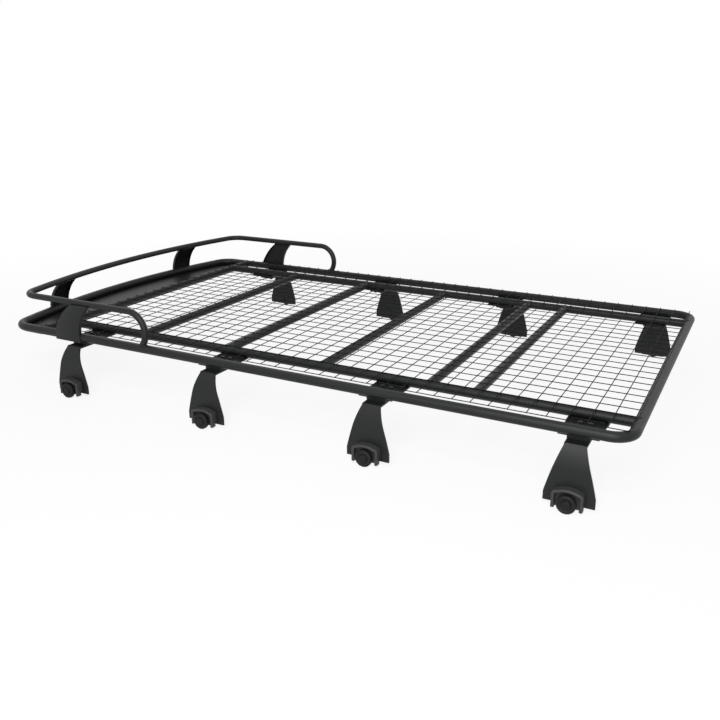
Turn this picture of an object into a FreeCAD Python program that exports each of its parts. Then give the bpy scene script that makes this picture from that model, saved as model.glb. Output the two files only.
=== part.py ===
"""Steel roof rack: tube frame, wire mesh floor, front guard rail and eight gutter clamp feet.

Axes: +X points to the front of the vehicle, +Y to its left, +Z up.
The origin is on the ground plane under the middle of the rack.
All sizes are millimetres.
"""
import FreeCAD, Part
import math
import os

SIZES = (
    ("frame_length", 2150, "rear tube centre to the middle of the front bow"),
    ("frame_width", 1212, "side tube centre to side tube centre"),
    ("frame_height", 194, "lowest point of the clamp knobs to the tube centres"),
    ("tube_dia", 28, "frame tube outside diameter"),
    ("weld_gap", 0.2, "room left for the weld where one piece is fitted to a round tube"),
    ("rear_corner_radius", 55, "rear corner bends, to the tube centre"),
    ("bow_radius", 2366, "front bow, to the tube centre"),
    ("front_corner_radius", 65, "front corner bends, to the tube centre"),
    ("rail_inset", 117, "side tube centre to inner rail centre"),
    ("nose_length", 200, "front crossbar centre to the middle of the front bow"),
    ("bar_pitch", 345, "crossbar to crossbar"),
    ("extra_bar_gap", 138, "last regular crossbar to the extra bar behind it"),
    ("mesh_pitch", 50, "wire to wire"),
    ("wire_dia", 2.6, "mesh wire"),
    ("mesh_rear_gap", 10, "rear tube centre to the first cross wire"),
    ("mesh_left_gap", 14.5, "left side tube centre to the edge wire"),
    ("mesh_right_gap", 4, "right side tube centre to the ends of the cross wires"),
    ("nose_sheet", 2, "front floor sheet thickness"),
    ("guard_dia", 21, "guard rail outside diameter"),
    ("guard_rise", 117.5, "frame tube centre to guard rail centre"),
    ("guard_setback", 58, "front bow to guard rail, in plan"),
    ("guard_reach", 664, "middle of the front bow to the rearmost point of the guard rail"),
    ("guard_corner_radius", 60, "guard rail front corner bends"),
    ("guard_bend_radius", 65, "guard rail end bends down to the side tubes"),
    ("stanchion_sheet", 3, "stanchion plate thickness"),
    ("stanchion_depth", 28, "stanchion channel depth"),
    ("stanchion_width", 112, "side stanchion base width"),
    ("stanchion_head", 92, "side stanchion width at the guard rail"),
    ("stanchion_sweep", 56, "how far a side stanchion leans back at the guard rail"),
    ("stanchion_lean", 14, "how far a stanchion leans back at half its height"),
    ("stanchion_from_bow", 340, "middle of the front bow to the side stanchion's base centre"),
    ("front_stanchion_width", 92, "front stanchion channel width"),
    ("bow_clear", 0.7, "room for the bow's curve where a front stanchion is fitted to it"),
    ("front_stanchion_spread", 704, "front stanchion to front stanchion"),
    ("foot_pitch", 552.5, "foot to foot"),
    ("first_foot", 125, "rear tube centre to the rearmost foot's centre"),
    ("bracket_sheet", 4, "foot bracket plate thickness"),
    ("bracket_length", 102, "foot bracket plate, along the side tube"),
    ("bracket_lap", 17, "foot bracket plate beyond the inner rail's centre"),
    ("spacer_width", 58, "spacer bar between a bracket and a leg's flange"),
    ("spacer_height", 10, "bracket to the leg's flange"),
    ("spacer_setback", 6, "spacer bar's outer end, inboard of the side tube centre"),
    ("leg_sheet", 5, "leg plate thickness"),
    ("leg_clear", 14, "leg's lower end above the ground"),
    ("leg_offset", 44, "side tube centre to the outer face of the leg's lower end"),
    ("leg_bend_radius", 96, "leg's curved outer face"),
    ("leg_straight", 90, "upright lower end of the leg"),
    ("leg_top_width", 56, "leg at the bracket"),
    ("leg_foot_width", 129, "leg at its lower end"),
    ("leg_skirt", 24, "height of the leg's upright lower edges"),
    ("leg_belly", 2, "bulge of the leg's tapering edges"),
    ("leg_lap", 95, "leg flange under the bracket, inboard of the side tube centre"),
    ("jaw_width", 79, "clamp jaw"),
    ("jaw_top", 62, "crown of the clamp jaw above the ground"),
    ("jaw_low", 9, "clamp jaw lower edge above the ground"),
    ("jaw_depth", 19, "clamp jaw, from the leg's face to its rim"),
    ("jaw_rim", 9, "width of the clamp jaw's raised rim"),
    ("jaw_crown", 6, "rise of the clamp jaw's arched top"),
    ("jaw_corner", 11, "clamp jaw top corner radius"),
    ("jaw_recess", 10, "depth of the recess inside the clamp jaw's rim"),
    ("tongue_width", 64, "jaw's tongue, which hooks into a slot in the leg"),
    ("tongue_height", 5, "thickness of the jaw's tongue"),
    ("tongue_level", 33, "middle of the jaw's tongue above the leg's lower end"),
    ("tongue_reach", 3, "jaw's tongue beyond the leg's inner face"),
    ("tongue_clear", 0.7, "room around the jaw's tongue"),
    ("gutter_slot", 6, "gap between the leg and the clamp jaw"),
    ("slot_height", 14, "gutter slot, up from the clamp jaw's lower edge"),
    ("stud_dia", 8, "clamp stud"),
    ("stud_clear", 0.3, "room round the clamp stud in its holes"),
    ("stud_tail", 14, "clamp stud beyond the inside of the leg"),
    ("hub_dia", 28, "clamp knob hub"),
    ("hub_length", 7, "clamp knob hub, from the jaw's recess to the grip"),
    ("knob_dia", 50, "clamp knob grip"),
    ("knob_length", 15, "clamp knob grip"),
)

doc = FreeCAD.newDocument("roof_rack")
sheet = doc.addObject("Spreadsheet::Sheet", "Sizes")
for row, (alias, number, meaning) in enumerate(SIZES, start=1):
    sheet.set(f"A{row}", meaning)
    sheet.set(f"B{row}", str(number))
    sheet.setAlias(f"B{row}", alias)
doc.recompute()

V = FreeCAD.Vector
TURN = {
    "x": FreeCAD.Rotation(V(0, 1, 0), 90),
    "y": FreeCAD.Rotation(V(1, 0, 0), -90),
    "z": FreeCAD.Rotation(),
}
SIDES = {"left": 1, "right": -1}
MESH_SHEETS = ("rear", "middle", "front")
nodes = []


def size(alias):
    """Give a driving dimension from the sheet."""
    return float(sheet.get(alias))


def bind(item, expressions):
    """Tie properties of a document object to expressions on the sheet."""
    for name, text in expressions.items():
        item.setExpression(name, text)


def place(item, x, y, z):
    """Tie an object's position to expressions on the sheet."""
    bind(item, {"Placement.Base.x": x, "Placement.Base.y": y, "Placement.Base.z": z})


def keep(item, label):
    """Mark a finished piece of the rack and give it its name."""
    item.Label = label
    nodes.append(item)
    return item


# Places that several pieces share, as expressions on the sheet.
REAR = "-Sizes.frame_length / 2"
HALF = "Sizes.frame_width / 2"
LEVEL = "Sizes.frame_height"
TUBE = "Sizes.tube_dia"
COPE = "Sizes.tube_dia + 2 * Sizes.weld_gap"
RAIL = "(Sizes.frame_width / 2 - Sizes.rail_inset)"
NOSE = "(Sizes.frame_length / 2 - Sizes.nose_length)"
BOW_CENTRE = "(Sizes.frame_length / 2 - Sizes.bow_radius)"
FACE = "(Sizes.frame_width / 2 + Sizes.leg_offset)"


def bar(name, along, start, length, diameter):
    """Make a straight round bar that starts at a point and runs along an axis."""
    rod = doc.addObject("Part::Cylinder", name)
    rod.Placement = FreeCAD.Placement(V(), TURN[along])
    bind(rod, {"Radius": f"({diameter}) / 2", "Height": length})
    place(rod, *start)
    return rod


def bend(name, centre, radius, diameter, sweep, turn):
    """Make a bent round bar: a sector of a ring about a centre."""
    ring = doc.addObject("Part::Torus", name)
    ring.Placement = FreeCAD.Placement(V(), turn)
    bind(ring, {"Radius1": radius, "Radius2": f"({diameter}) / 2", "Angle3": sweep})
    place(ring, *centre)
    return ring


def about_z(degrees):
    """Give a rotation about the upright axis."""
    return FreeCAD.Rotation(V(0, 0, 1), degrees)


def joined(name, pieces):
    """Fuse pieces into one solid."""
    fuse = doc.addObject("Part::MultiFuse", name)
    fuse.Shapes = pieces
    fuse.Refine = True
    return fuse


def coped(name, base, tools):
    """Cut the rounds of other tubes out of a piece that is fitted to them."""
    result = base
    for count, tool in enumerate(tools):
        cut = doc.addObject("Part::Cut", f"{name}_cope_{count}")
        cut.Base = result
        cut.Tool = tool
        result = cut
    return result


def bow(name, level, radius, corner, diameter):
    """Make a bowed front tube with a bend at each end, and say where the bends meet the sides."""
    corner_y = f"({HALF} - {corner})"
    reach = f"sqrt(({radius} - {corner}) ^ 2 - {corner_y} ^ 2)"
    corner_x = f"({BOW_CENTRE} + {reach})"
    half_angle = f"atan({corner_y} / {reach})"
    arc = bend(f"{name}_arc", (BOW_CENTRE, "0", level), radius, diameter, f"2 * {half_angle}", about_z(0))
    arc.setExpression("Placement.Rotation.Angle", f"-{half_angle}")
    left = bend(f"{name}_left", (corner_x, corner_y, level), corner, diameter,
                f"90 deg - {half_angle}", about_z(0))
    left.setExpression("Placement.Rotation.Angle", half_angle)
    right = bend(f"{name}_right", (corner_x, f"-{corner_y}", level), corner, diameter,
                 f"90 deg - {half_angle}", about_z(-90))
    return joined(name, [right, arc, left]), corner_x


def frame_tubes():
    """Make the outer frame, the inner rails and the crossbars, each end fitted to the tube it meets."""
    front, front_end = bow("front_bow", LEVEL, "Sizes.bow_radius", "Sizes.front_corner_radius", TUBE)
    keep(front, "front_bow_tube")

    corner = "Sizes.rear_corner_radius"
    rear_start = f"({REAR} + {corner})"
    corner_y = f"({HALF} - {corner})"
    rear = bar("rear_run", "y", (REAR, f"-{corner_y}", LEVEL), f"2 * {corner_y}", TUBE)
    rear_left = bend("rear_left", (rear_start, corner_y, LEVEL), corner, TUBE, "90 deg", about_z(90))
    rear_right = bend("rear_right", (rear_start, f"-{corner_y}", LEVEL), corner, TUBE, "90 deg", about_z(180))
    keep(joined("rear", [rear_right, rear, rear_left]), "rear_tube")

    for side, sign in SIDES.items():
        tube = bar(f"{side}_tube", "x", (rear_start, f"{sign} * {HALF}", LEVEL),
                   f"{front_end} - {rear_start}", TUBE)
        keep(tube, f"{side}_side_tube")

    across = ("Sizes.frame_width", f"-{HALF}")
    cope_rear = bar("cope_rear", "y", (REAR, across[1], LEVEL), across[0], COPE)
    cope_nose = bar("cope_nose", "y", (NOSE, across[1], LEVEL), across[0], COPE)
    cope_sides = [bar(f"cope_{side}", "x", (REAR, f"{sign} * {HALF}", LEVEL), "Sizes.frame_length", COPE)
                  for side, sign in SIDES.items()]
    cope_rails = [bar(f"cope_rail_{side}", "x", (REAR, f"{sign} * {RAIL}", LEVEL), "Sizes.frame_length", COPE)
                  for side, sign in SIDES.items()]

    for side, sign in SIDES.items():
        rail = bar(f"{side}_rail", "x", (REAR, f"{sign} * {RAIL}", LEVEL), f"{NOSE} - {REAR}", TUBE)
        keep(coped(f"{side}_rail", rail, [cope_rear, cope_nose]), f"{side}_inner_rail")

    nose = bar("nose_bar", "y", (NOSE, across[1], LEVEL), across[0], TUBE)
    keep(coped("nose_bar", nose, cope_sides), "front_crossbar")
    regular = [f"{NOSE} - {step} * Sizes.bar_pitch" for step in (1, 2, 3, 4)]
    extra = f"{regular[-1]} - Sizes.extra_bar_gap"
    for number, x in enumerate([*regular, extra], start=1):
        cross = bar(f"cross_{number}", "y", (x, f"-{RAIL}", LEVEL), f"2 * {RAIL}", TUBE)
        keep(coped(f"cross_{number}", cross, cope_rails), f"crossbar_{number}")
    return cope_sides


def guard_rail(cope_sides):
    """Make the guard rail: a bowed front and two side runs that curl down onto the side tubes."""
    level = f"({LEVEL} + Sizes.guard_rise)"
    thick = "Sizes.guard_dia"
    front, front_end = bow("guard", level, "(Sizes.bow_radius - Sizes.guard_setback)",
                           "Sizes.guard_corner_radius", thick)
    keep(front, "guard_rail_front")
    radius = "Sizes.guard_bend_radius"
    run_x = f"(Sizes.frame_length / 2 - Sizes.guard_reach + {radius})"
    sweep = f"90 deg + asin((Sizes.guard_rise - {radius}) / {radius})"
    from_top = FreeCAD.Rotation(V(0, 0, 1), V(-1, 0, 0), V(0, -1, 0), "XYZ")
    for (side, sign), cope in zip(SIDES.items(), cope_sides):
        y = f"{sign} * {HALF}"
        run = bar(f"guard_{side}_run", "x", (run_x, y, level), f"{front_end} - {run_x}", thick)
        curl = bend(f"guard_{side}_curl", (run_x, y, f"{level} - {radius}"), radius, thick, sweep, from_top)
        whole = joined(f"guard_{side}", [run, curl])
        keep(coped(f"guard_{side}", whole, [cope]), f"guard_rail_{side}")


def floor_mesh():
    """Make the welded wire floor as three lattices that butt end to end over the crossbars."""
    pitch = size("mesh_pitch")
    wire = size("wire_dia")
    bottom = size("frame_height") + size("tube_dia") / 2 + size("weld_gap")
    rear = -size("frame_length") / 2 + size("mesh_rear_gap")
    front = size("frame_length") / 2 - size("nose_length") + size("tube_dia") / 2
    left = size("frame_width") / 2 - size("mesh_left_gap")
    right = -size("frame_width") / 2 + size("mesh_right_gap")
    cross_wires = int((front - rear) / pitch) + 1
    long_wires = int((left - right) / pitch) + 1
    share = math.ceil(cross_wires / len(MESH_SHEETS))
    cell = pitch - wire
    for part, name in enumerate(MESH_SHEETS):
        count = min(share, cross_wires - part * share)
        start = rear + part * share * pitch - wire / 2
        last = part == len(MESH_SHEETS) - 1
        length = (count - 1) * pitch + wire if last else count * pitch
        floor = Part.makePlane(length, left + wire / 2 - right, V(start, right, bottom))
        corner = V(start + wire, left - wire / 2 - cell, bottom)
        cells = [Part.makePlane(cell, cell, corner + V(pitch * i, -pitch * j, 0))
                 for i in range(count) for j in range(long_wires)]
        lattice = doc.addObject("Part::Feature", f"mesh_{name}")
        lattice.Shape = floor.cut(Part.makeCompound(cells)).extrude(V(0, 0, wire))
        keep(lattice, f"floor_mesh_{name}")


def origin_plane(body, role):
    """Find one of a body's own origin planes."""
    return next(item for item in body.Origin.OriginFeatures if item.Role == role)


def sketch_on(body, role, name, pieces):
    """Draw lines and arcs in a sketch on one of a body's origin planes."""
    sketch = body.newObject("Sketcher::SketchObject", name)
    sketch.AttachmentSupport = [(origin_plane(body, role), "")]
    sketch.MapMode = "FlatFace"
    for piece in pieces:
        sketch.addGeometry(piece)
    return sketch


def polyline(*points):
    """Give the closed outline through points, where a pair of points is an arc's middle and end."""
    pieces = []
    here = V(*points[0], 0)
    for step in [*points[1:], points[0]]:
        if isinstance(step[0], tuple):
            middle, there = V(*step[0], 0), V(*step[1], 0)
            pieces.append(Part.Arc(here, middle, there))
        else:
            there = V(*step, 0)
            if there.distanceToPoint(here) < 1e-6:
                continue
            pieces.append(Part.LineSegment(here, there))
        here = there
    return pieces


def pad(body, sketch, length):
    """Thicken a sketch equally to both sides of its plane."""
    feature = body.newObject("PartDesign::Pad", f"{sketch.Name}_pad")
    feature.Profile = sketch
    feature.Midplane = True
    feature.setExpression("Length", length)
    return feature


def pocket(body, sketch):
    """Cut a sketch right through a body to both sides of its plane."""
    feature = body.newObject("PartDesign::Pocket", f"{sketch.Name}_cut")
    feature.Profile = sketch
    feature.Midplane = True
    feature.Type = "ThroughAll"
    return feature


def circle_at(x, y, diameter):
    """Give a full circle for a sketch."""
    return Part.Circle(V(x, y, 0), V(0, 0, 1), diameter / 2)


def nose_floor():
    """Make the sheet that closes the floor between the front crossbar and the front bow."""
    half = size("frame_width") / 2
    corner = size("front_corner_radius")
    bow_radius = size("bow_radius")
    front = size("frame_length") / 2
    rear = front - size("nose_length")
    centre_x = front - bow_radius
    corner_y = half - corner
    corner_x = centre_x + math.sqrt((bow_radius - corner) ** 2 - corner_y ** 2)
    angle = math.atan2(corner_y, corner_x - centre_x)
    tangent = (centre_x + bow_radius * math.cos(angle), bow_radius * math.sin(angle))
    middle = (angle + math.pi / 2) / 2
    bulge = (corner_x + corner * math.cos(middle), corner_y + corner * math.sin(middle))
    outline = polyline(
        (rear, -half), (corner_x, -half),
        ((bulge[0], -bulge[1]), (tangent[0], -tangent[1])),
        ((front, 0), tangent),
        (bulge, (corner_x, half)),
        (rear, half),
    )
    body = doc.addObject("PartDesign::Body", "nose_floor")
    feature = body.newObject("PartDesign::Pad", "nose_floor_pad")
    feature.Profile = sketch_on(body, "XY_Plane", "nose_floor_outline", outline)
    feature.setExpression("Length", "Sizes.nose_sheet")
    place(body, "0", "0", f"{LEVEL} - {TUBE} / 2 - Sizes.weld_gap - Sizes.nose_sheet")
    keep(body, "front_floor_sheet")


def side_stanchions():
    """Make the swept channel that carries the guard rail on each side tube, open towards the floor."""
    half, half_head = size("stanchion_width") / 2, size("stanchion_head") / 2
    sweep, lean, skin = size("stanchion_sweep"), size("stanchion_lean"), size("stanchion_sheet")
    tube, rise, rail = size("tube_dia"), size("guard_rise"), size("guard_dia")
    gap = size("weld_gap")
    foot, shoulder, knee, top = -tube / 2, tube / 2, rise / 2, rise - rail / 4

    def outline(inset, beyond):
        """Give the channel's side view, drawn in by a wall and run on past both ends."""
        wide, head = half - inset, half_head - inset
        return polyline(
            (wide, foot - beyond), (wide, shoulder), ((wide - lean, knee), (head - sweep, top)),
            (head - sweep, top + beyond), (-head - sweep, top + beyond), (-head - sweep, top),
            ((-wide - lean, knee), (-wide, shoulder)), (-wide, foot - beyond))

    for side, sign in SIDES.items():
        name = f"side_stanchion_{side}"
        body = doc.addObject("PartDesign::Body", name)
        channel = body.newObject("PartDesign::Pad", f"{name}_pad")
        channel.Profile = sketch_on(body, "XZ_Plane", f"{name}_skin", outline(0, 0))
        channel.Reversed = sign < 0
        channel.setExpression("Length", "Sizes.stanchion_depth")
        hollow = sketch_on(body, "XZ_Plane", f"{name}_hollow", outline(skin, rail))
        hollow.setExpression("AttachmentOffset.Base.z", f"{sign} * Sizes.stanchion_sheet")
        cut = body.newObject("PartDesign::Pocket", f"{name}_hollow_cut")
        cut.Profile = hollow
        cut.Type = "ThroughAll"
        cut.Reversed = sign > 0
        centre = -sign * (tube / 2 + gap + skin)
        seats = sketch_on(body, "YZ_Plane", f"{name}_seats", [
            circle_at(centre, 0, tube + 2 * gap), circle_at(centre, rise, rail + 2 * gap)])
        pocket(body, seats)
        place(body, "Sizes.frame_length / 2 - Sizes.stanchion_from_bow",
              f"{sign} * ({HALF} + {TUBE} / 2 + Sizes.weld_gap + Sizes.stanchion_sheet)", LEVEL)
        keep(body, name)


def front_stanchions():
    """Make the channel that leans back from the front bow to the guard rail, open to the rear."""
    skin, depth, lean = size("stanchion_sheet"), size("stanchion_depth"), size("stanchion_lean")
    tube, rise, rail = size("tube_dia"), size("guard_rise"), size("guard_dia")
    setback, room = size("guard_setback"), size("bow_clear")
    foot, shoulder, knee, top = -tube / 2, tube / 2, rise / 2, rise - rail / 4
    face = tube / 2 + size("weld_gap") + skin
    head = rail / 2 + size("weld_gap") + skin - setback

    def outline(inset, back, beyond):
        """Give the channel's side view from its curved front face back, run on past both ends."""
        front, front_head = face - inset, head - inset
        return polyline(
            (front, foot - beyond), (front, shoulder), ((front - lean, knee), (front_head, top)),
            (front_head, top + beyond), (head - back, top + beyond), (head - back, top),
            ((face - back - lean, knee), (face - back, shoulder)), (face - back, foot - beyond))

    angle = "asin(Sizes.front_stanchion_spread / 2 / Sizes.bow_radius)"
    for side, sign in SIDES.items():
        name = f"front_stanchion_{side}"
        body = doc.addObject("PartDesign::Body", name)
        skin_sketch = sketch_on(body, "XZ_Plane", f"{name}_skin", outline(0, depth, 0))
        pad(body, skin_sketch, "Sizes.front_stanchion_width")
        hollow = body.newObject("PartDesign::Pocket", f"{name}_hollow_cut")
        hollow.Profile = sketch_on(body, "XZ_Plane", f"{name}_hollow", outline(skin, 2 * depth, rail))
        hollow.Midplane = True
        hollow.setExpression("Length", "Sizes.front_stanchion_width - 2 * Sizes.stanchion_sheet")
        seats = sketch_on(body, "XZ_Plane", f"{name}_seats", [
            circle_at(0, 0, tube + 2 * room), circle_at(-setback, rise, rail + 2 * room)])
        pocket(body, seats)
        body.setExpression("Placement.Rotation.Angle", f"{sign} * {angle}")
        place(body, f"{BOW_CENTRE} + Sizes.bow_radius * cos({angle})",
              f"{sign} * Sizes.front_stanchion_spread / 2", LEVEL)
        keep(body, name)


def flange_top():
    """Give the level of the leg's flange, above the leg's lower end."""
    under_tube = size("frame_height") - size("tube_dia") / 2 - size("weld_gap")
    return under_tube - size("bracket_sheet") - size("spacer_height") - size("leg_clear")


def leg_profile():
    """Give the leg's side view: a flange under the spacer, a curved face and an upright lower end."""
    outer = size("leg_bend_radius")
    inner = outer - size("leg_sheet")
    face = size("frame_width") / 2 + size("leg_offset")
    centre_y, centre_z = face - outer, size("leg_straight")
    top = flange_top()
    under = top - size("leg_sheet")
    tail = size("frame_width") / 2 - size("leg_lap")

    def on_arc(radius, height):
        return centre_y + math.sqrt(radius ** 2 - (height - centre_z) ** 2)

    middle = (top + centre_z) / 2
    return polyline(
        (tail, top), (on_arc(outer, top), top),
        ((on_arc(outer, middle), middle), (face, centre_z)),
        (face, 0), (face - size("leg_sheet"), 0), (face - size("leg_sheet"), centre_z),
        ((on_arc(inner, middle), middle), (on_arc(inner, under), under)),
        (tail, under))


def leg_trim(sign):
    """Give the outline that is cut off one side of a leg, so that it widens towards its foot."""
    top = size("frame_height")
    shoulder = flange_top() - size("leg_sheet")
    foot, narrow = size("leg_foot_width") / 2, size("leg_top_width") / 2
    skirt = size("leg_skirt")
    middle = ((foot + narrow) / 2 + size("leg_belly"), (shoulder + skirt) / 2)
    beyond = size("leg_foot_width")
    return polyline(
        (sign * foot, skirt), ((sign * middle[0], middle[1]), (sign * narrow, shoulder)),
        (sign * narrow, top), (sign * beyond, top), (sign * beyond, skirt))


def bracket(name, sign, x):
    """Make a plate under the side tube and the inner rail, and the spacer bar over the leg's flange."""
    plate = doc.addObject("Part::Box", f"bracket_{name}")
    bind(plate, {
        "Length": "Sizes.bracket_length",
        "Width": "Sizes.rail_inset + Sizes.bracket_lap",
        "Height": "Sizes.bracket_sheet"})
    under = f"({LEVEL} - {TUBE} / 2 - Sizes.weld_gap - Sizes.bracket_sheet)"
    start = f"{HALF} - Sizes.rail_inset - Sizes.bracket_lap" if sign > 0 else f"-{HALF}"
    place(plate, f"{x} - Sizes.bracket_length / 2", start, under)

    spacer = doc.addObject("Part::Box", f"spacer_{name}")
    bind(spacer, {
        "Length": "Sizes.spacer_width",
        "Width": "Sizes.leg_lap - Sizes.spacer_setback",
        "Height": "Sizes.spacer_height"})
    start = f"{HALF} - Sizes.leg_lap" if sign > 0 else f"-{HALF} + Sizes.spacer_setback"
    place(spacer, f"{x} - Sizes.spacer_width / 2", start, f"{under} - Sizes.spacer_height")
    return [plate, spacer]


def tongue_outline(room):
    """Give the front view of the jaw's tongue, above the leg's lower end, with room around it."""
    half = size("tongue_width") / 2 + room
    low = size("tongue_level") - size("tongue_height") / 2 - room
    top = size("tongue_level") + size("tongue_height") / 2 + room
    return polyline((-half, low), (half, low), (half, top), (-half, top))


def leg(name, turn, x):
    """Make a leg: one bent plate that widens towards its foot, with a stud hole and a slot for the jaw."""
    body = doc.addObject("PartDesign::Body", f"leg_{name}")
    stud_z = size("knob_dia") / 2 - size("leg_clear")
    hole = circle_at(0, stud_z, size("stud_dia") + 2 * size("stud_clear"))
    pad(body, sketch_on(body, "YZ_Plane", f"leg_{name}_profile", leg_profile()), "Sizes.leg_foot_width")
    pocket(body, sketch_on(body, "XZ_Plane", f"leg_{name}_trim", leg_trim(1) + leg_trim(-1)))
    pocket(body, sketch_on(body, "XZ_Plane", f"leg_{name}_hole", [hole]))
    pocket(body, sketch_on(body, "XZ_Plane", f"leg_{name}_slot", tongue_outline(size("tongue_clear"))))
    body.Placement = FreeCAD.Placement(V(), turn)
    place(body, x, "0", "Sizes.leg_clear")
    keep(body, f"leg_{name}")


def jaw_outline(inset, low):
    """Give the clamp jaw's front view: upright sides, rounded shoulders and an arched crown."""
    half = size("jaw_width") / 2 - inset
    corner = size("jaw_corner") - inset
    top = size("jaw_top") - inset
    crest = top - size("jaw_crown")
    slack = corner * (1 - math.sqrt(0.5))
    return polyline(
        (-half, low), (half, low), (half, crest - corner),
        ((half - slack, crest - slack), (half - corner, crest)),
        ((0, top), (corner - half, crest)),
        ((slack - half, crest - slack), (-half, crest - corner)))


def jaw(name, sign, turn, x):
    """Make a clamp jaw: a rimmed, arched plate that closes on a gutter's lip against the leg."""
    body = doc.addObject("PartDesign::Body", f"jaw_{name}")
    low, half = size("jaw_low"), size("jaw_width")
    block = body.newObject("PartDesign::Pad", f"jaw_{name}_pad")
    block.Profile = sketch_on(body, "XZ_Plane", f"jaw_{name}_outline", jaw_outline(0, low))
    block.Reversed = True
    block.setExpression("Length", "Sizes.jaw_depth")

    inside = sketch_on(body, "XZ_Plane", f"jaw_{name}_inside", jaw_outline(size("jaw_rim"), -low))
    inside.setExpression("AttachmentOffset.Base.z", "-Sizes.jaw_depth")
    recess = body.newObject("PartDesign::Pocket", f"jaw_{name}_recess")
    recess.Profile = inside
    recess.Reversed = True
    recess.setExpression("Length", "Sizes.jaw_recess")

    lip = low + size("slot_height")
    mouth = polyline((-half, -low), (half, -low), (half, lip), (-half, lip))
    slot = body.newObject("PartDesign::Pocket", f"jaw_{name}_slot")
    slot.Profile = sketch_on(body, "XZ_Plane", f"jaw_{name}_mouth", mouth)
    slot.setExpression("Length", "Sizes.gutter_slot - Sizes.weld_gap")

    hole = circle_at(0, size("knob_dia") / 2, size("stud_dia") + 2 * size("stud_clear"))
    pocket(body, sketch_on(body, "XZ_Plane", f"jaw_{name}_hole", [hole]))

    hook = sketch_on(body, "XZ_Plane", f"jaw_{name}_hook", tongue_outline(0))
    hook.setExpression("AttachmentOffset.Base.y", "Sizes.leg_clear")
    tongue = body.newObject("PartDesign::Pad", f"jaw_{name}_tongue")
    tongue.Profile = hook
    tongue.setExpression("Length", "Sizes.weld_gap + Sizes.leg_sheet + Sizes.tongue_reach")
    body.Placement = FreeCAD.Placement(V(), turn)
    place(body, x, f"{sign} * ({FACE} + Sizes.weld_gap)", "0")
    keep(body, f"clamp_jaw_{name}")


def knob(name, sign, x):
    """Make a clamp knob: a stud through the leg and the jaw, a hub and a round grip."""
    inside = f"({FACE} - Sizes.leg_sheet - Sizes.stud_tail)"
    seat = f"({FACE} + Sizes.weld_gap + Sizes.jaw_depth - Sizes.jaw_recess)"
    grip = f"({seat} + Sizes.hub_length)"
    outward = TURN["y"] if sign > 0 else FreeCAD.Rotation(V(1, 0, 0), 90)
    pieces = []
    for piece, start, length, across in (
            ("stud", inside, f"{grip} - {inside}", "Sizes.stud_dia"),
            ("hub", seat, "Sizes.hub_length", "Sizes.hub_dia"),
            ("grip", grip, "Sizes.knob_length", "Sizes.knob_dia")):
        rod = bar(f"{piece}_{name}", "y", (x, f"{sign} * {start}", "Sizes.knob_dia / 2"), length, across)
        rod.Placement = FreeCAD.Placement(rod.Placement.Base, outward)
        pieces.append(rod)
    return joined(f"knob_{name}", pieces)


def feet():
    """Make the eight feet: brackets under the tubes, legs, clamp jaws and clamp knobs."""
    for side, sign in SIDES.items():
        turn = about_z(0 if sign > 0 else 180)
        plates = []
        knobs = []
        for number in range(1, 5):
            x = f"({REAR} + Sizes.first_foot + {number - 1} * Sizes.foot_pitch)"
            name = f"{side}_{number}"
            plates += bracket(name, sign, x)
            leg(name, turn, x)
            jaw(name, sign, turn, x)
            knobs.append(knob(name, sign, x))
        for kind, pieces in (("foot_brackets", plates), ("clamp_knobs", knobs)):
            group = doc.addObject("Part::Compound", f"{kind}_{side}")
            group.Links = pieces
            keep(group, f"{kind}_{side}")


def check_document():
    """Recompute and refuse to go on with a failed object or an invalid shape."""
    doc.recompute()
    for item in doc.Objects:
        if "Invalid" in item.State or "Error" in item.State:
            raise RuntimeError(f"{item.Label} failed: {item.State}")
    for item in nodes:
        if item.Shape.isNull() or not item.Shape.isValid():
            raise RuntimeError(f"{item.Label} has no valid shape")


def write_parts():
    """Write each piece to a STEP file named after it."""
    os.makedirs("parts", exist_ok=True)
    for item in nodes:
        item.Shape.exportStep(os.path.join("parts", f"{item.Label}.step"))


side_copes = frame_tubes()
guard_rail(side_copes)
floor_mesh()
nose_floor()
side_stanchions()
front_stanchions()
feet()
check_document()
write_parts()
print(f"{len(nodes)} pieces written")
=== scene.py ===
import math

import bmesh
import bpy
import numpy as np
from mathutils import Matrix, Vector


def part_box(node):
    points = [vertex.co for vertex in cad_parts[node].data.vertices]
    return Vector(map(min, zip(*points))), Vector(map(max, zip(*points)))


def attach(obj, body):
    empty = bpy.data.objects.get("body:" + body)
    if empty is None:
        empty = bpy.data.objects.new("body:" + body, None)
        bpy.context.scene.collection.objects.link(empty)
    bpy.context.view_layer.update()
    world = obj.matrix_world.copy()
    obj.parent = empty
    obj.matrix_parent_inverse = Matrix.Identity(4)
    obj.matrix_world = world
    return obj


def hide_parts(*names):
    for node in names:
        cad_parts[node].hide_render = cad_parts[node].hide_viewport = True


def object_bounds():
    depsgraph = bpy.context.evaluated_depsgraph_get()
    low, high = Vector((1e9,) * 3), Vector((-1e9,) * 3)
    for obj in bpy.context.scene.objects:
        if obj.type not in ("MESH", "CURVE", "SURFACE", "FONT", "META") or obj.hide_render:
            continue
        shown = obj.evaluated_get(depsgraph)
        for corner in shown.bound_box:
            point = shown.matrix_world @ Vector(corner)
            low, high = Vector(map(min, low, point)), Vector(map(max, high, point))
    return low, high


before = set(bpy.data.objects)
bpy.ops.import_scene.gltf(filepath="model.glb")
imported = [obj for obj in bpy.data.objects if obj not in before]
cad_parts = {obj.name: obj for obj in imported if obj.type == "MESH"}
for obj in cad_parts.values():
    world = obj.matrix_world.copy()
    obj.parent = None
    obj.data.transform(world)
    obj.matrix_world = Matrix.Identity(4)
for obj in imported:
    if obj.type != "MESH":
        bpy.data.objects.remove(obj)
CAD_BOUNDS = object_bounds()

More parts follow.
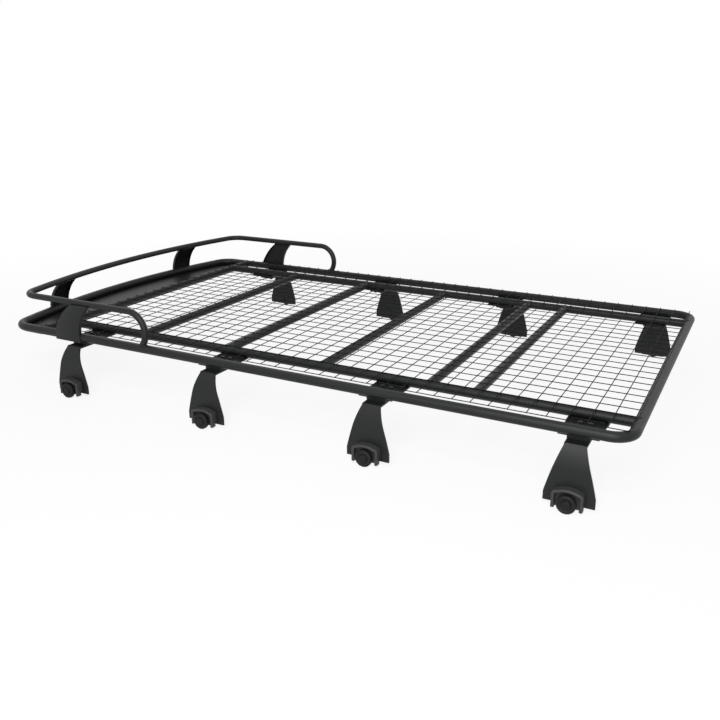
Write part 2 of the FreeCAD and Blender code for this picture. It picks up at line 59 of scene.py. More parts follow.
bl_info = {
    "name": "Roof Rack Dressing",
    "version": (1, 0, 0),
    "blender": (4, 5, 0),
    "location": "View3D > Sidebar > Roof Rack",
    "description": "Dresses a steel roof rack with wire floor, welds, clamp hardware and finishes",
    "category": "Object",
}

MM = 0.001
BODY = "root"
SIDES = ("left", "right")
FEET = tuple(f"{side}_{number}" for side in SIDES for number in range(1, 5))
MESH_NODES = ("floor_mesh_rear", "floor_mesh_middle", "floor_mesh_front")
CROSSBARS = tuple(f"crossbar_{number}" for number in range(1, 6))
# Three (along, up) points in millimetres on each swept edge of a side stanchion, measured from its
# front foot corner and the tube's centre
SIDE_FRONT_EDGE = ((0, 14), (-19, 50), (-80, 112))
SIDE_REAR_EDGE = ((-108, 14), (-117, 55), (-159, 112))
# The same for the curved face of a front stanchion, from the bow's centre line
BOW_FACE = ((17.4, 14), (3.4, 59), (-44, 112))
RIPPLE_RISE = 0.1
WASHER_SHEET = 1.5 * MM
STUD_RADIUS, HUB_RADIUS = 4 * MM, 14 * MM
KNOB_DEPTH, HUB_LENGTH = 22 * MM, 7 * MM
# Size of the patches of uneven gloss, depth of the orange peel, and how dark a coat's colour gets
CLOUD, PEEL_DEPTH, COAT_DARK = 90 * MM, 0.25 * MM, 0.82
X_AXIS, Y_AXIS, Z_AXIS = np.eye(3)


def corners(node):
    """Give a node's lowest and highest corners as arrays."""
    low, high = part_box(node)
    return np.array(low), np.array(high)


def middle(node):
    """Give the middle of a node's box."""
    low, high = corners(node)
    return (low + high) / 2


TUBE_RADIUS = float(np.ptp(corners("left_side_tube"), axis=0)[1] / 2)
TUBE_LEVEL = float(middle("left_side_tube")[2])
GUARD_RADIUS = float(np.ptp(corners("guard_rail_front"), axis=0)[2] / 2)


class RackSizes(bpy.types.PropertyGroup):
    """Sizes of the small pieces that a user would change."""

    wire: bpy.props.FloatProperty(
        name="Wire", description="Diameter of the floor's wires", default=2.6 * MM, unit="LENGTH")
    wire_pitch: bpy.props.FloatProperty(
        name="Wire pitch", description="Distance from wire to wire", default=50 * MM, unit="LENGTH")
    wire_sink: bpy.props.FloatProperty(
        name="Wire sink", description="How far crossed wires are welded into each other",
        default=0.5 * MM, unit="LENGTH")
    bead: bpy.props.FloatProperty(
        name="Weld bead", description="Radius of the weld beads round tube joints",
        default=2.0 * MM, unit="LENGTH")
    bead_ripple: bpy.props.FloatProperty(
        name="Weld ripple", description="Distance from one ripple of a weld to the next",
        default=2.4 * MM, unit="LENGTH")
    seam: bpy.props.FloatProperty(
        name="Seam", description="Length of the welds between brackets and tubes",
        default=88 * MM, unit="LENGTH")
    bolt: bpy.props.FloatProperty(
        name="Bolt", description="Thread diameter of the foot bolts", default=8 * MM, unit="LENGTH")
    bolt_spread: bpy.props.FloatProperty(
        name="Bolt spread", description="Distance between a foot's two bolts",
        default=26 * MM, unit="LENGTH")
    leg_sheet: bpy.props.FloatProperty(
        name="Leg sheet", description="Thickness of the legs' plate", default=5 * MM, unit="LENGTH")
    guard_bend: bpy.props.FloatProperty(
        name="Guard bend", description="Radius of the guard rail's end bends",
        default=65 * MM, unit="LENGTH")
    guard_setback: bpy.props.FloatProperty(
        name="Guard setback", description="How far the guard rail lies behind the front bow",
        default=58 * MM, unit="LENGTH")
    bow: bpy.props.FloatProperty(
        name="Bow", description="Radius of the front bow in plan", default=2366 * MM, unit="LENGTH")
    front_spread: bpy.props.FloatProperty(
        name="Front spread", description="Distance between the front stanchions",
        default=704 * MM, unit="LENGTH")
    front_width: bpy.props.FloatProperty(
        name="Front width", description="Width of a front stanchion",
        default=92 * MM, unit="LENGTH")
    stanchion_sheet: bpy.props.FloatProperty(
        name="Stanchion sheet", description="Thickness of the stanchions' plate",
        default=3 * MM, unit="LENGTH")
    stanchion_depth: bpy.props.FloatProperty(
        name="Stanchion depth", description="Depth of the stanchions' folded edges",
        default=12 * MM, unit="LENGTH")
    jaw_rim: bpy.props.FloatProperty(
        name="Jaw rim", description="Width of a clamp jaw's raised rim",
        default=9 * MM, unit="LENGTH")
    jaw_corner: bpy.props.FloatProperty(
        name="Jaw corner", description="Radius of a clamp jaw's shoulders",
        default=11 * MM, unit="LENGTH")
    jaw_crown: bpy.props.FloatProperty(
        name="Jaw crown", description="Rise of a clamp jaw's arched top",
        default=6 * MM, unit="LENGTH")
    knob_flutes: bpy.props.IntProperty(
        name="Knob flutes", description="Finger flutes round a clamp knob", default=24)


class RackColours(bpy.types.PropertyGroup):
    """Colours of the finishes, as sRGB hex values."""

    coat: bpy.props.StringProperty(
        name="Powder coat", description="Satin black powder coat on the steel", default="1b1c1d")
    wire: bpy.props.StringProperty(
        name="Wire", description="Black coat on the floor's wires", default="0e0f10")
    # The jaw colour is lighter than the powder coat: partly the cast jaws' own coat, partly a
    # painted highlight for the light caught on their rounded rim tops
    jaw: bpy.props.StringProperty(
        name="Jaw", description="Black coat on the cast clamp jaws", default="383838")
    knob: bpy.props.StringProperty(
        name="Knob", description="Moulded black nylon", default="161617")
    zinc: bpy.props.StringProperty(
        name="Bolts", description="Blackened zinc on the fasteners", default="26272a")
    floor: bpy.props.StringProperty(
        name="Floor", description="Pale studio floor", default="f4f4f4")


def sizes():
    """Give the scene's piece sizes."""
    return bpy.context.scene.rack_sizes


def colours():
    """Give the scene's finish colours."""
    return bpy.context.scene.rack_colours


def linear(code):
    """Turn an sRGB hex value into linear red, green, blue and alpha."""
    channels = np.array([int(code[i:i + 2], 16) for i in (0, 2, 4)]) / 255
    low, high = channels / 12.92, ((channels + 0.055) / 1.055) ** 2.4
    return (*np.where(channels <= 0.04045, low, high), 1.0)


def grid_faces(rows, columns, close_rows, close_columns):
    """Give the quads of a grid of points numbered row by row, closed round where asked."""
    last_row = rows if close_rows else rows - 1
    last_column = columns if close_columns else columns - 1
    row, column = np.meshgrid(np.arange(last_row), np.arange(last_column), indexing="ij")
    next_row, next_column = (row + 1) % rows, (column + 1) % columns
    quads = np.stack([row * columns + column, row * columns + next_column,
                      next_row * columns + next_column, next_row * columns + column], axis=-1)
    return quads.reshape(-1, 4)


def lathe(profile, axis, origin, turns=32, flutes=None):
    """Turn a profile of (along, radius) points about an axis: each point is the origin plus along
    times the axis plus radius times a unit circle. A flute function scales the radius by angle and
    along. Both ends are closed by a fan to the axis."""
    profile = np.asarray(profile, float)
    side = Z_AXIS if abs(axis[2]) < 0.9 else X_AXIS
    other = np.cross(axis, side)
    angle = np.linspace(0, 2 * np.pi, turns, endpoint=False)
    circle = np.cos(angle)[:, None] * side + np.sin(angle)[:, None] * other
    radius = profile[:, 1][:, None] * np.ones(turns)
    if flutes is not None:
        radius = radius * flutes(angle[None, :], profile[:, 0][:, None])
    points = origin + profile[:, 0][:, None, None] * axis + radius[:, :, None] * circle
    count = len(profile)
    quads = grid_faces(count, turns, False, True)
    ends = np.array([origin + profile[0, 0] * axis, origin + profile[-1, 0] * axis])
    around = np.arange(turns)
    after = (around + 1) % turns
    first = np.stack([np.full(turns, count * turns), after, around], axis=-1)
    top = (count - 1) * turns
    last = np.stack([np.full(turns, count * turns + 1), top + around, top + after], axis=-1)
    return np.concatenate([points.reshape(-1, 3), ends]), [quads, first, last]


def swept(path, across, outward, wide, tall, closed=True, sides=10):
    """Carry an ellipse along a path: each point is the path point plus wide times cosine times one
    direction plus tall times sine times the other. An open path's ends are closed by a fan to the
    path."""
    count = len(path)
    angle = np.linspace(0, 2 * np.pi, sides, endpoint=False)
    wide, tall = (np.broadcast_to(size, count)[:, None, None] for size in (wide, tall))
    points = (path[:, None, :] + wide * np.cos(angle)[None, :, None] * across[:, None, :]
              + tall * np.sin(angle)[None, :, None] * outward[:, None, :]).reshape(-1, 3)
    quads = grid_faces(count, sides, closed, True)
    if closed:
        return points, [quads]
    around = np.arange(sides)
    after = (around + 1) % sides
    first = np.stack([np.full(sides, count * sides), after, around], axis=-1)
    top = (count - 1) * sides
    last = np.stack([np.full(sides, count * sides + 1), top + around, top + after], axis=-1)
    return np.concatenate([points, path[[0, -1]]]), [quads, first, last]


def build(name, shapes, smooth_angle=35):
    """Make one mesh object at the origin from a list of (points, lists of faces), with its faces
    outwards."""
    points, faces, count = [], [], 0
    for shape_points, shape_faces in shapes:
        points.append(shape_points)
        for block in shape_faces:
            faces += (block + count).tolist()
        count += len(shape_points)
    mesh = bpy.data.meshes.new(name)
    mesh.from_pydata(np.concatenate(points).tolist(), [], faces)
    mesh.validate()
    shells = bmesh.new()
    shells.from_mesh(mesh)
    bmesh.ops.recalc_face_normals(shells, faces=shells.faces)
    shells.to_mesh(mesh)
    shells.free()
    mesh.update()
    mesh.shade_smooth()
    mesh.set_sharp_from_angle(angle=math.radians(smooth_angle))
    piece = bpy.data.objects.new(name, mesh)
    bpy.context.scene.collection.objects.link(piece)
    return piece


def dress(piece, material):
    """Give a new piece its finish and tie it to the rack."""
    piece.data.materials.append(bpy.data.materials[material])
    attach(piece, BODY)
    return piece


def add(tree, kind, settings=None, **links):
    """Add a node with its settings, and link other nodes' sockets to its inputs by name."""
    node = tree.nodes.new(kind)
    for name, value in (settings or {}).items():
        if name in node.inputs:
            node.inputs[name].default_value = value
        else:
            setattr(node, name, value)
    for name, socket in links.items():
        tree.links.new(socket, node.inputs[name.replace("_", " ")])
    return node


def coated_metal(name, colour, grain_mm, roughness, bump, specular=0.5):
    """Powder coat: a plastic skin baked on steel. The eye sees a satin sheen broken by a fine
    orange peel, slightly uneven gloss, and no metal colour. The peel is drawn a little coarser than
    real, so it shows."""
    material = bpy.data.materials.new(name)
    material.use_nodes = True
    tree = material.node_tree
    tree.nodes.clear()
    place = add(tree, "ShaderNodeTexCoord")
    peel = add(tree, "ShaderNodeTexNoise",
               {"Scale": 1 / (grain_mm * MM), "Detail": 3.0, "Roughness": 0.55},
               Vector=place.outputs["Object"])
    cloud = add(tree, "ShaderNodeTexNoise", {"Scale": 1 / CLOUD, "Detail": 4.0},
                Vector=place.outputs["Object"])
    gloss = add(tree, "ShaderNodeMapRange",
                {"To Min": roughness - 0.05, "To Max": roughness + 0.07}, Value=cloud.outputs["Fac"])
    height = add(tree, "ShaderNodeBump", {"Strength": bump, "Distance": PEEL_DEPTH},
                 Height=peel.outputs["Fac"])
    dark = tuple(COAT_DARK * channel for channel in colour[:3]) + (1.0,)
    tint = add(tree, "ShaderNodeMix", {"data_type": "RGBA"})
    tint.inputs[6].default_value = dark
    tint.inputs[7].default_value = colour
    tree.links.new(cloud.outputs["Fac"], tint.inputs["Factor"])
    shader = add(tree, "ShaderNodeBsdfPrincipled", {"IOR": 1.5, "Specular IOR Level": specular},
                 Roughness=gloss.outputs["Result"], Normal=height.outputs["Normal"])
    tree.links.new(tint.outputs[2], shader.inputs["Base Color"])
    output = add(tree, "ShaderNodeOutputMaterial", Surface=shader.outputs["BSDF"])
    output.is_active_output = True
    return material


class RACK_OT_finishes(bpy.types.Operator):
    """Make the finishes and give them to the steel pieces"""

    bl_idname = "rack.finishes"
    bl_label = "Finishes"

    def execute(self, context):
        coated_metal("satin_black_powder_coat", linear(colours().coat),
                     grain_mm=1.6, roughness=0.45, bump=0.25, specular=0.25)
        coated_metal("black_wire_coat", linear(colours().wire),
                     grain_mm=1.2, roughness=0.65, bump=0.2, specular=0.1)
        # Jaw coat: its own cast black, lightened as a painted highlight of the lit rim tops
        coated_metal("jaw_coat_with_painted_highlight", linear(colours().jaw),
                     grain_mm=1.2, roughness=0.5, bump=0.35, specular=0.3)
        coated_metal("moulded_black_nylon", linear(colours().knob),
                     grain_mm=0.9, roughness=0.55, bump=0.35, specular=0.2)
        coated_metal("blackened_zinc", linear(colours().zinc),
                     grain_mm=0.6, roughness=0.35, bump=0.1)
        coat = bpy.data.materials["satin_black_powder_coat"]
        # The jaws get the coat lightened with painted highlight
        cast = bpy.data.materials["jaw_coat_with_painted_highlight"]
        for node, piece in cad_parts.items():
            piece.data.materials.clear()
            piece.data.materials.append(cast if node.startswith("clamp_jaw") else coat)
        return {"FINISHED"}


class RACK_OT_wire_floor(bpy.types.Operator):
    """Weld the floor from round wires in two layers"""

    bl_idname = "rack.wire_floor"
    bl_label = "Wire floor"

    def execute(self, context):
        radius, pitch = sizes().wire / 2, sizes().wire_pitch
        low = np.min([corners(node)[0] for node in MESH_NODES], axis=0)
        high = np.max([corners(node)[1] for node in MESH_NODES], axis=0)
        lower = low[2] + radius
        upper = lower + 2 * radius - sizes().wire_sink
        high[0] = middle("front_crossbar")[0]
        cross = np.arange(low[0] + radius, high[0], pitch)
        along = np.arange(high[1] - radius, low[1], -pitch)
        length, width = high[0] - low[0], high[1] - low[1]
        shapes = [rod(np.array([low[0], y, lower]), X_AXIS, length, radius) for y in along]
        shapes += [rod(np.array([x, low[1], upper]), Y_AXIS, width, radius) for x in cross]
        floor = dress(build("wire_floor", shapes), "black_wire_coat")
        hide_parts(*MESH_NODES)
        return {"FINISHED"}


def rod(start, axis, length, radius):
    """Give a round wire with slightly rounded cut ends, as a turned profile."""
    round_off = 0.3 * radius
    profile = [(0, radius - round_off), (round_off, radius), (length - round_off, radius),
               (length, radius - round_off)]
    return lathe(profile, axis, start, turns=10)


def saddle_weld(joint, bar_axis, tube_axis, bar_radius, tube_radius):
    """Give the weld bead round a bar that meets the side of a tube. The path goes once round the
    bar, and each point slides along the bar until its distance from the tube's centre line is the
    tube's radius."""
    steps = 96
    angle = np.linspace(0, 2 * np.pi, steps, endpoint=False)
    third = np.cross(bar_axis, tube_axis)
    third = third / np.linalg.norm(third)
    circle = np.cos(angle)[:, None] * np.cross(third, bar_axis) + np.sin(angle)[:, None] * third
    flat = np.eye(3) - np.outer(tube_axis, tube_axis)
    start, step = bar_radius * circle @ flat, bar_axis @ flat
    half = start @ step
    beyond = np.sum(start ** 2, axis=1) - tube_radius ** 2
    room = np.maximum(half ** 2 - (step @ step) * beyond, 0)
    slide = (np.sqrt(room) - half) / (step @ step)
    path = joint + bar_radius * circle + slide[:, None] * bar_axis
    ripples = round(2 * np.pi * bar_radius / sizes().bead_ripple)
    radius = sizes().bead * (1 + RIPPLE_RISE * np.sin(ripples * angle))
    return swept(path, circle, np.broadcast_to(bar_axis, path.shape), radius, radius)


def seam_weld(x, tube_y, way, plate_top):
    """Give the straight bead between a tube and the plate under it. It touches both, so its centre
    line lies twice the root of the two radii's product beside the tube's."""
    ripples = round(sizes().seam / sizes().bead_ripple)
    share = np.linspace(0, 1, 5 * ripples + 1)
    radius = sizes().bead
    beside = tube_y + way * 2 * math.sqrt(TUBE_RADIUS * radius)
    path = np.stack([x + (share - 0.5) * sizes().seam, np.full(len(share), beside),
                     np.full(len(share), plate_top + 0.6 * radius)], axis=-1)
    taper = np.clip(np.minimum(share, 1 - share) * 40, 0.3, 1)
    taper = taper * (1 + RIPPLE_RISE * np.sin(2 * np.pi * ripples * share))
    return swept(path, np.broadcast_to(Y_AXIS, path.shape), np.broadcast_to(Z_AXIS, path.shape),
                 1.6 * radius * taper, radius * taper, closed=False, sides=8)


def arc_at(level, points):
    """Give how far along a curve lies at each level: straight up to the first of three (along, up)
    points in millimetres, then on the circle through all three, whose centre is as far from each of
    them."""
    points = np.array(points) * MM
    start = points[0]
    squares = np.sum(points[1:] ** 2, axis=1) - start @ start
    centre = np.linalg.solve(2 * (points[1:] - start), squares)
    radius = np.linalg.norm(start - centre)
    rise = np.maximum(level, start[1]) - centre[1]
    return centre[0] + np.sqrt(radius ** 2 - rise ** 2)


def channel(base, across, outward, level, first, last, face, rail_out):
    """Give an open channel as a stack of level sections, each a C with rounded folds from its first
    edge to its last. Its folded edges stop at the tube under it and at the guard rail over it: each
    circle leaves room from the face to its centre less the root of its radius squared minus the
    height squared."""
    skin = sizes().stanchion_sheet
    bend = 0.8 * skin
    depth = np.full(len(level), sizes().stanchion_depth)
    rail_level = middle("guard_rail_front")[2] - TUBE_LEVEL
    for height, out, radius in ((0, 0, TUBE_RADIUS), (rail_level, rail_out, GUARD_RADIUS)):
        reach = np.sqrt(np.maximum(radius ** 2 - (level - height) ** 2, 0))
        room = np.where(reach > 0, face - out - reach, depth)
        depth = np.clip(room, 1.1 * skin, depth)
    turn = np.linspace(0, np.pi / 2, 4)
    near, far = bend * (1 - np.cos(turn)), bend * (1 - np.sin(turn))
    back = face - depth
    along = [first, *(first + step for step in near), *(last - step for step in near[::-1]),
             last, last - skin, last - skin, first + skin, first + skin]
    out = [back, *(face - step for step in far), *(face - step for step in far[::-1]),
           back, back, face - skin, face - skin, back]
    along, out = np.stack(along, axis=-1), np.stack(out, axis=-1)
    points = (base + along[..., None] * across + out[..., None] * outward
              + level[:, None, None] * Z_AXIS)
    rows, columns = along.shape
    ends = np.array([np.arange(columns)[::-1], (rows - 1) * columns + np.arange(columns)])
    return points.reshape(-1, 3), [grid_faces(rows, columns, False, True), ends]


class RACK_OT_stanchions(bpy.types.Operator):
    """Fold the channels that carry the guard rail"""

    bl_idname = "rack.stanchions"
    bl_label = "Stanchions"

    def execute(self, context):
        shapes, nodes = [], []
        bow_front = corners("front_bow_tube")[1][0] - TUBE_RADIUS
        for side, sign in zip(SIDES, (1, -1)):
            node = f"side_stanchion_{side}"
            low, high = corners(node)
            level = np.linspace(low[2], high[2], 81) - TUBE_LEVEL
            tube_y = middle(f"{side}_side_tube")[1]
            face = np.full(len(level), (high[1] if sign > 0 else -low[1]) - abs(tube_y))
            shapes.append(channel(
                np.array([high[0], tube_y, TUBE_LEVEL]), X_AXIS, sign * Y_AXIS, level,
                arc_at(level, SIDE_REAR_EDGE), arc_at(level, SIDE_FRONT_EDGE), face, 0))
            turn = sign * math.asin(sizes().front_spread / 2 / sizes().bow)
            outward = np.array([math.cos(turn), math.sin(turn), 0])
            base = np.array([bow_front - sizes().bow, 0, TUBE_LEVEL]) + sizes().bow * outward
            half = np.full(len(level), sizes().front_width / 2)
            shapes.append(channel(base, np.cross(Z_AXIS, outward), outward, level, -half, half,
                                  arc_at(level, BOW_FACE), -sizes().guard_setback))
            nodes += [node, f"front_stanchion_{side}"]
        stanchions = build("stanchions", shapes)
        dress(stanchions, "satin_black_powder_coat")
        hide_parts(*nodes)
        return {"FINISHED"}


class RACK_OT_welds(bpy.types.Operator):
    """Run weld beads round the tube joints and along the foot brackets"""

    bl_idname = "rack.welds"
    bl_label = "Welds"

    def execute(self, context):
        shapes = []
        rails = {side: middle(f"{side}_inner_rail") for side in SIDES}
        rear_x = float(corners("rear_tube")[0][0]) + TUBE_RADIUS
        nose_x = float(middle("front_crossbar")[0])
        for side, sign in zip(SIDES, (1, -1)):
            inward = -sign * Y_AXIS
            rail_y = rails[side][1]
            for node in CROSSBARS:
                joint = np.array([middle(node)[0], rail_y, TUBE_LEVEL])
                shapes.append(saddle_weld(joint, inward, X_AXIS, TUBE_RADIUS, TUBE_RADIUS))
            tube_y = middle(f"{side}_side_tube")[1]
            nose = np.array([nose_x, tube_y, TUBE_LEVEL])
            shapes.append(saddle_weld(nose, inward, X_AXIS, TUBE_RADIUS, TUBE_RADIUS))
            for x, axis in ((rear_x, X_AXIS), (nose_x, -X_AXIS)):
                joint = np.array([x, rail_y, TUBE_LEVEL])
                shapes.append(saddle_weld(joint, axis, Y_AXIS, TUBE_RADIUS, TUBE_RADIUS))
            shapes.append(self.curl_weld(side, tube_y))
            plate_top = corners(f"foot_brackets_{side}")[1][2]
            for number in range(1, 5):
                x = middle(f"leg_{side}_{number}")[0]
                seams = ((tube_y, -sign), (rail_y, -1), (rail_y, 1))
                shapes += [seam_weld(x, beside, way, plate_top) for beside, way in seams]
        beads = build("weld_beads", shapes, smooth_angle=80)
        dress(beads, "satin_black_powder_coat")
        return {"FINISHED"}

    def curl_weld(self, side, tube_y):
        """Give the weld where the guard rail's end curls down onto the side tube."""
        low, high = corners(f"guard_rail_{side}")
        bend = sizes().guard_bend
        drop = high[2] - GUARD_RADIUS - bend - TUBE_LEVEL
        dip = math.asin((drop - TUBE_RADIUS) / bend)
        upward = np.array([-math.sin(dip), 0, math.cos(dip)])
        x = low[0] + GUARD_RADIUS + bend * (1 - math.cos(dip))
        joint = np.array([x, tube_y, TUBE_LEVEL + TUBE_RADIUS]) - upward * TUBE_RADIUS / upward[2]
        return saddle_weld(joint, upward, X_AXIS, GUARD_RADIUS, TUBE_RADIUS)


class RACK_OT_clamp_rims(bpy.types.Operator):
    """Round off the raised rims of the clamp jaws"""

    bl_idname = "rack.clamp_rims"
    bl_label = "Clamp rims"

    def execute(self, context):
        shapes = [self.rim(foot) for foot in FEET]
        # The rims get the jaw coat, which is lightened as a painted highlight of their lit tops
        dress(build("clamp_rims", shapes, smooth_angle=60), "jaw_coat_with_painted_highlight")
        return {"FINISHED"}

    def rim(self, foot):
        """Give the rounded bead on a jaw's rim. Its path goes up one side, round a shoulder of
        fixed radius, over the crown, which is the arc through three points, and down the other
        side."""
        low, high = corners(f"clamp_jaw_{foot}")
        sign = 1 if foot.startswith("left") else -1
        inset = sizes().jaw_rim / 2
        half, corner = (high[0] - low[0]) / 2 - inset, sizes().jaw_corner - inset
        top = high[2] - inset
        crest, reach = top - sizes().jaw_crown, half - corner
        crown = (reach ** 2 + sizes().jaw_crown ** 2) / (2 * sizes().jaw_crown)
        tilt = math.asin(reach / crown)
        turn = np.linspace(0, np.pi / 2, 9)
        shoulder = np.stack([reach + corner * np.cos(turn),
                             crest - corner + corner * np.sin(turn)], axis=-1)
        sweep = np.linspace(tilt, 0, 13)[1:]
        arch = np.stack([crown * np.sin(sweep), top - crown + crown * np.cos(sweep)], axis=-1)
        side = np.stack([np.full(6, half), np.linspace(low[2], crest - corner, 6)], axis=-1)[:-1]
        right = np.concatenate([side, shoulder, arch])
        outline = np.concatenate([right, right[-2::-1] * (-1, 1)])
        face = high[1] if sign > 0 else low[1]
        path = np.stack([outline[:, 0] + middle(f"clamp_jaw_{foot}")[0],
                         np.full(len(outline), face), outline[:, 1]], axis=-1)
        along = np.gradient(path, axis=0)
        out = np.broadcast_to(sign * Y_AXIS, path.shape)
        across = np.cross(along, out)
        across = across / np.linalg.norm(across, axis=1)[:, None]
        return swept(path, across, out, inset - 0.1 * MM, 3.5 * MM, closed=False, sides=16)


class RACK_OT_clamp_knobs(bpy.types.Operator):
    """Turn the clamp knobs with their studs and hubs"""

    bl_idname = "rack.clamp_knobs"
    bl_label = "Clamp knobs"

    def execute(self, context):
        flutes = sizes().knob_flutes
        for side, sign in zip(SIDES, (1, -1)):
            low, high = corners(f"clamp_knobs_{side}")
            centre_z = (low[2] + high[2]) / 2
            grip = (high[2] - low[2]) / 2
            out = sign * Y_AXIS
            tip = high[1] if sign > 0 else -low[1]
            tail = low[1] if sign > 0 else -high[1]
            length = tip - tail
            hub = length - KNOB_DEPTH
            rim = hub + HUB_LENGTH
            shapes = []
            for number in range(1, 5):
                x = middle(f"leg_{side}_{number}")[0]
                start = np.array([x, sign * tail, centre_z])
                profile = [
                    (0, 0.8 * STUD_RADIUS), (0.2 * STUD_RADIUS, STUD_RADIUS), (hub, STUD_RADIUS),
                    (hub, HUB_RADIUS - 0.8 * MM), (hub + 1 * MM, HUB_RADIUS),
                    (rim - 1 * MM, HUB_RADIUS), (rim, HUB_RADIUS + 1 * MM),
                    (rim + 0.3 * MM, 0.88 * grip),
                    (rim + 1.4 * MM, 0.97 * grip), (rim + 3 * MM, grip), (length - 5 * MM, grip),
                    (length - 2.6 * MM, 0.97 * grip), (length - 1.1 * MM, 0.91 * grip),
                    (length - 0.4 * MM, 0.82 * grip), (length - 1.4 * MM, 0.7 * grip),
                    (length - 3 * MM, 0.56 * grip), (length - 3.4 * MM, 0.48 * grip),
                    (length - 1.2 * MM, 0.44 * grip), (length - 0.3 * MM, 0.36 * grip),
                    (length, 0.2 * grip)]

                def fluted(angle, along):
                    on_grip = np.clip((along - rim) / (3 * MM), 0, 1)
                    return 1 - 0.022 * on_grip * (0.5 + 0.5 * np.cos(flutes * angle)) ** 2

                shapes.append(lathe(profile, out, start, turns=flutes * 6, flutes=fluted))
            knobs = dress(build(f"knobs_{side}", shapes), "moulded_black_nylon")
            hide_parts(f"clamp_knobs_{side}")
        return {"FINISHED"}


def hexagon(origin, axis, across_flats, height):
    """Give a hexagon head or nut with a chamfered top, as a turned profile of six sides."""
    corner = across_flats / math.sqrt(3)
    profile = [(0, corner), (height - 0.12 * corner, corner), (height, 0.86 * corner)]
    return lathe(profile, axis, origin, turns=6)


def washer(origin, axis, diameter):
    """Give a flat washer with a softened edge, as a turned profile."""
    profile = [(0, diameter / 2), (WASHER_SHEET - 0.4 * MM, diameter / 2),
               (WASHER_SHEET, diameter / 2 - 0.5 * MM)]
    return lathe(profile, axis, origin, turns=32)


class RACK_OT_fasteners(bpy.types.Operator):
    """Bolt the legs to their brackets and put lock nuts on the clamp studs"""

    bl_idname = "rack.fasteners"
    bl_label = "Fasteners"

    def execute(self, context):
        bolt = sizes().bolt
        flats, head, nut = 1.6 * bolt, 0.66 * bolt, 0.8 * bolt
        washer_size = 2 * bolt
        shapes = []
        for foot in FEET:
            side = foot.split("_")[0]
            sign = 1 if side == "left" else -1
            low, high = corners(f"leg_{foot}")
            x = (low[0] + high[0]) / 2
            plate_low, plate_high = corners(f"foot_brackets_{side}")
            inner = min(abs(low[1]), abs(high[1]))
            y = sign * (inner + 2.5 * washer_size / 2)
            for shift in (-0.5, 0.5):
                place = np.array([x + shift * sizes().bolt_spread, y, 0])
                under = place + (plate_low[2] - sizes().leg_sheet) * Z_AXIS
                over = place + plate_high[2] * Z_AXIS
                shapes += [washer(under, -Z_AXIS, washer_size), washer(over, Z_AXIS, washer_size)]
                shapes += [hexagon(under - WASHER_SHEET * Z_AXIS, -Z_AXIS, flats, head),
                           hexagon(over + WASHER_SHEET * Z_AXIS, Z_AXIS, flats, nut)]
            stud = middle(f"clamp_knobs_{side}")[2]
            outer = max(abs(low[1]), abs(high[1]))
            inward = -sign * Y_AXIS
            inside = np.array([x, sign * (outer - sizes().leg_sheet), stud])
            shapes += [washer(inside, inward, washer_size),
                       hexagon(inside + WASHER_SHEET * inward, inward, flats, nut)]
        dress(build("fasteners", shapes, smooth_angle=25), "blackened_zinc")
        return {"FINISHED"}


class RACK_OT_stage(bpy.types.Operator):
    """Set the pale floor, the soft light and the camera"""

    bl_idname = "rack.stage"
    bl_label = "Stage"

    def execute(self, context):
        scene = context.scene
        scene.view_settings.view_transform = "Standard"
        stage_floor()
        stage_light(scene)
        stage_camera(scene)
        return {"FINISHED"}


def seen_directly(tree):
    """Give 1 to the rays that show the backdrop, from the camera, in gloss or through glass, and 0
    to the rest."""
    path = add(tree, "ShaderNodeLightPath")
    seen = path.outputs["Is Camera Ray"]
    for ray in ("Is Glossy Ray", "Is Transmission Ray"):
        either = add(tree, "ShaderNodeMath", {"operation": "MAXIMUM"})
        tree.links.new(seen, either.inputs[0])
        tree.links.new(path.outputs[ray], either.inputs[1])
        seen = either.outputs[0]
    return seen


def stage_floor():
    """Lay a wide pale floor under the feet. Cameras and mirrors see it as white, with the shadow
    kept near the rack and fading out with the distance from it."""
    half = 40.0
    mesh = bpy.data.meshes.new("studio_floor")
    square = [(-half, -half, 0), (half, -half, 0), (half, half, 0), (-half, half, 0)]
    mesh.from_pydata(square, [], [(0, 1, 2, 3)])
    floor = bpy.data.objects.new("studio_floor", mesh)
    floor.location.z = CAD_BOUNDS[0][2]
    bpy.context.scene.collection.objects.link(floor)
    material = bpy.data.materials.new("studio_floor")
    material.use_nodes = True
    tree = material.node_tree
    tree.nodes.clear()
    place = add(tree, "ShaderNodeTexCoord")
    far = add(tree, "ShaderNodeVectorMath", {"operation": "LENGTH"}, Vector=place.outputs["Object"])
    fade = add(tree, "ShaderNodeMapRange",
               {"From Min": 1.0, "From Max": 3.0, "To Min": 0.88, "To Max": 1.0},
               Value=far.outputs["Value"])
    share = add(tree, "ShaderNodeMath", {"operation": "MULTIPLY"})
    tree.links.new(seen_directly(tree), share.inputs[0])
    tree.links.new(fade.outputs["Result"], share.inputs[1])
    paint = add(tree, "ShaderNodeBsdfDiffuse", {"Color": linear(colours().floor)})
    glow = add(tree, "ShaderNodeEmission", {"Color": (1, 1, 1, 1), "Strength": 1.0})
    mix = add(tree, "ShaderNodeMixShader", None, Fac=share.outputs[0])
    tree.links.new(paint.outputs[0], mix.inputs[1])
    tree.links.new(glow.outputs[0], mix.inputs[2])
    add(tree, "ShaderNodeOutputMaterial", None, Surface=mix.outputs[0])
    mesh.materials.append(material)


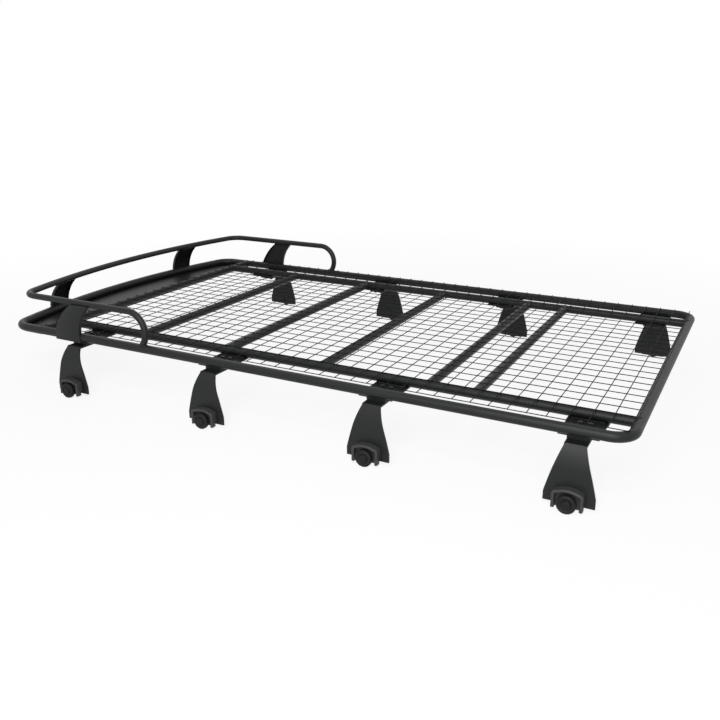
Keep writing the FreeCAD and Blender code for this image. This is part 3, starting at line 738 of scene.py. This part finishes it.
def stage_light(scene):
    """Light the rack with a broad soft box above, a fill, a weak front light and a white room."""
    world = bpy.data.worlds.new("white_room")
    world.use_nodes = True
    scene.world = world
    tree = world.node_tree
    tree.nodes.clear()
    level = add(tree, "ShaderNodeMapRange", {"To Min": 0.35, "To Max": 1.0},
                Value=seen_directly(tree))
    room = add(tree, "ShaderNodeBackground", {"Color": (1, 1, 1, 1)},
               Strength=level.outputs["Result"])
    add(tree, "ShaderNodeOutputWorld", None, Surface=room.outputs[0])
    for name, spot, size, power in (
            ("key_softbox", (-1.0, 3.0, 2.8), 2.2, 96), ("fill_softbox", (2.6, -1.5, 3.0), 3.0, 16),
            ("front_softbox", (-1.3, 2.9, 0.6), 2.0, 24)):
        lamp = bpy.data.lights.new(name, "AREA")
        lamp.shape = "DISK"
        lamp.size = size
        lamp.energy = power
        holder = bpy.data.objects.new(name, lamp)
        holder.location = spot
        holder.rotation_euler = (-Vector(spot)).to_track_quat("-Z", "Y").to_euler()
        scene.collection.objects.link(holder)


def stage_camera(scene):
    """Stand the camera where the photograph was taken, to the rear left, looking forward and down.
    """
    yaw, pitch = math.radians(-62.436), math.radians(18.960)
    flat = math.cos(pitch)
    look = Vector((flat * math.cos(yaw), flat * math.sin(yaw), -math.sin(pitch)))
    right = look.cross(Vector((0, 0, 1))).normalized()
    up = right.cross(look)
    camera = bpy.data.cameras.new("photo_camera")
    camera.sensor_width = 36.0
    camera.lens = 40.306
    camera.clip_end = 200
    holder = bpy.data.objects.new("photo_camera", camera)
    spot = Vector((-1.3097, 2.4421, 0.9914))
    turned = Matrix((right, up, -look)).transposed().to_4x4()
    holder.matrix_world = Matrix.Translation(spot) @ turned
    scene.collection.objects.link(holder)
    scene.camera = holder


class RACK_PT_panel(bpy.types.Panel):
    """Lists the steps that dress the rack"""

    bl_idname = "RACK_PT_panel"
    bl_label = "Roof Rack"
    bl_space_type = "VIEW_3D"
    bl_region_type = "UI"
    bl_category = "Roof Rack"

    def draw(self, context):
        for group in (context.scene.rack_sizes, context.scene.rack_colours):
            for name in group.__annotations__:
                self.layout.prop(group, name)
        for step in STEPS:
            self.layout.operator(step.bl_idname)


STEPS = (RACK_OT_finishes, RACK_OT_wire_floor, RACK_OT_stanchions, RACK_OT_welds,
         RACK_OT_clamp_rims, RACK_OT_clamp_knobs, RACK_OT_fasteners, RACK_OT_stage)
CLASSES = (RackSizes, RackColours, *STEPS, RACK_PT_panel)


def register():
    """Add the sizes, colours, steps and panel to Blender."""
    for item in CLASSES:
        bpy.utils.register_class(item)
    bpy.types.Scene.rack_sizes = bpy.props.PointerProperty(type=RackSizes)
    bpy.types.Scene.rack_colours = bpy.props.PointerProperty(type=RackColours)


def unregister():
    """Take the sizes, colours, steps and panel out of Blender."""
    del bpy.types.Scene.rack_colours
    del bpy.types.Scene.rack_sizes
    for item in reversed(CLASSES):
        bpy.utils.unregister_class(item)


def main():
    """Dress the rack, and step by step."""
    register()
    bpy.ops.rack.finishes()
    bpy.ops.rack.wire_floor()
    bpy.ops.rack.stanchions()
    bpy.ops.rack.welds()
    bpy.ops.rack.clamp_rims()
    bpy.ops.rack.clamp_knobs()
    bpy.ops.rack.fasteners()
    bpy.ops.rack.stage()


if __name__ == "__main__":
    main()
